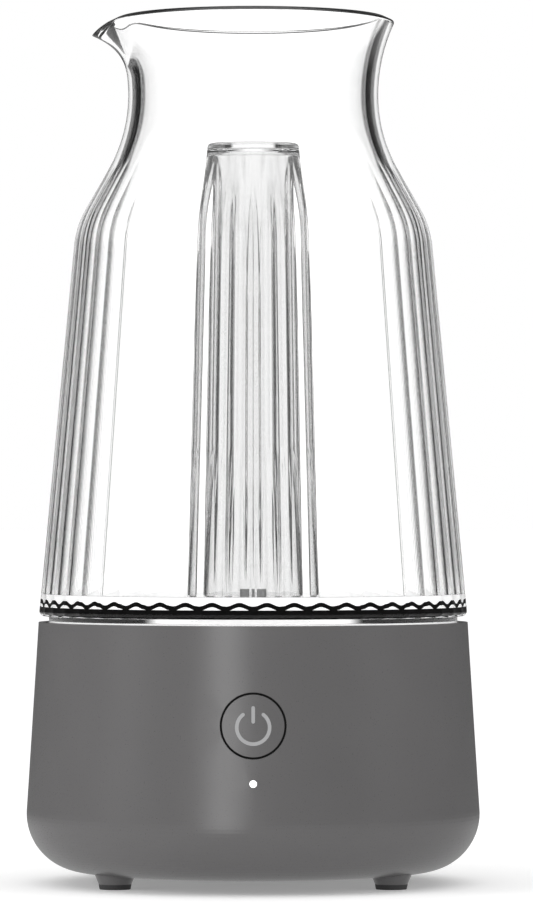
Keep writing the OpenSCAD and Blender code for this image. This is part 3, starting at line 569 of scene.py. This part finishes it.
def tent_through(tree, x, y, z):
    """The tent as seen through the clear pieces.

    It is white straight behind, to the side and steeply up or down, and dark between, which draws
    their edges and flutes. Towards the camera, where the views from behind look, it is also white on
    the diagonals and wider to the side."""
    white, dark = 1.3, 0.006
    turn = math_node(tree, "ARCTAN2", math_node(tree, "ABSOLUTE", x), math_node(tree, "ABSOLUTE", y))
    off_diagonal = math_node(tree, "ABSOLUTE", math_node(tree, "SUBTRACT", turn, math.radians(45)))
    behind, beside = turn_range(tree, turn, 22, 17), turn_range(tree, turn, 83, 86)
    above, below = step_range(tree, z, 0.85, 0.97), step_range(tree, z, -0.11, -0.18)
    front = largest(tree, turn_range(tree, off_diagonal, 16, 11), turn_range(tree, turn, 72, 77))
    front = math_node(tree, "MULTIPLY", front, step_range(tree, y, 0.0, -0.1))
    lit = largest(tree, behind, beside, front, above, below)
    return largest(tree, math_node(tree, "MULTIPLY", lit, white), dark)


def tent_mirror(tree, z):
    """The tent in reflections: white above, grey below and dark between."""
    white, grey, dark = 0.8, 0.62, 0.08
    lower = mix(tree, step_range(tree, z, 0.0, -0.15), dark, grey)
    return mix(tree, step_range(tree, z, 0.5, 0.75), lower, white)


def make_world():
    """A white studio tent, which shades the part evenly and shows plain white behind it."""
    even = 0.5
    world = bpy.data.worlds.new("studio_tent")
    scene.world = world
    world.use_nodes = True
    tree = world.node_tree
    coord = tree.nodes.new("ShaderNodeTexCoord")
    split = tree.nodes.new("ShaderNodeSeparateXYZ")
    tree.links.new(coord.outputs["Generated"], split.inputs["Vector"])
    x, y, z = split.outputs
    ray = tree.nodes.new("ShaderNodeLightPath")
    level = mix(tree, ray.outputs["Is Glossy Ray"], even, tent_mirror(tree, z))
    level = mix(tree, ray.outputs["Is Transmission Ray"], level, tent_through(tree, x, y, z))
    level = largest(tree, level, ray.outputs["Is Camera Ray"])
    tree.links.new(level, tree.nodes["Background"].inputs["Color"])


def add_light(name, kind, power, where, aim, size=None):
    light = bpy.data.lights.new(name, kind)
    light.energy = power
    if size:
        light.shape = "RECTANGLE"
        light.size, light.size_y = size
    obj = bpy.data.objects.new(name, light)
    obj.location = where
    obj.rotation_euler = (Vector(aim) - Vector(where)).to_track_quat("-Z", "Y").to_euler()
    obj.visible_camera = False
    obj.visible_transmission = False
    scene.collection.objects.link(obj)
    return obj


def make_lights():
    """Two softboxes and a soft overhead light, and a strip that draws the gleam on the base."""
    for name, power, side in (("left_softbox", 12, -1), ("right_softbox", 6, 1)):
        where = (1.5 * side, -0.6, 0.4)
        softbox = add_light(name, "AREA", power, where, aim=(0, 0, 0.06), size=(0.6, 0.9))
        softbox.visible_glossy = False
    overhead = add_light("overhead", "SUN", 1.6, (0, 0, 2), aim=(0, 0, 0))
    overhead.data.angle = math.radians(100)
    overhead.visible_glossy = False
    strip = add_light("strip_light", "AREA", 9, (-0.45, -1.75, 0.15), aim=(0, 0, 0.05), size=(0.5, 1.3))
    lit = bpy.data.collections.new("strip_light_on")
    for name in ("base_shell", "power_button"):
        lit.objects.link(nodes[name])
    strip.light_linking.receiver_collection = lit


def make_camera():
    """A long lens in front of the part, a little above the height of the carafe's floor."""
    eye, aim = Vector((0, -1.792, 0.1192)), Vector((0.00426, 0, 0.1363))
    data = bpy.data.cameras.new("camera")
    data.sensor_width, data.lens, data.clip_end = 36, 220.8, 100
    cam = bpy.data.objects.new("camera", data)
    cam.location = eye
    cam.rotation_euler = (aim - eye).to_track_quat("-Z", "Y").to_euler()
    scene.collection.objects.link(cam)
    scene.camera = cam


make_floor()
make_world()
make_lights()
make_camera()
scene.view_settings.view_transform = "Standard"
scene.view_settings.look = "None"
scene.cycles.max_bounces = 40
scene.cycles.transmission_bounces = 36
scene.cycles.glossy_bounces = 12
scene.cycles.transparent_max_bounces = 16
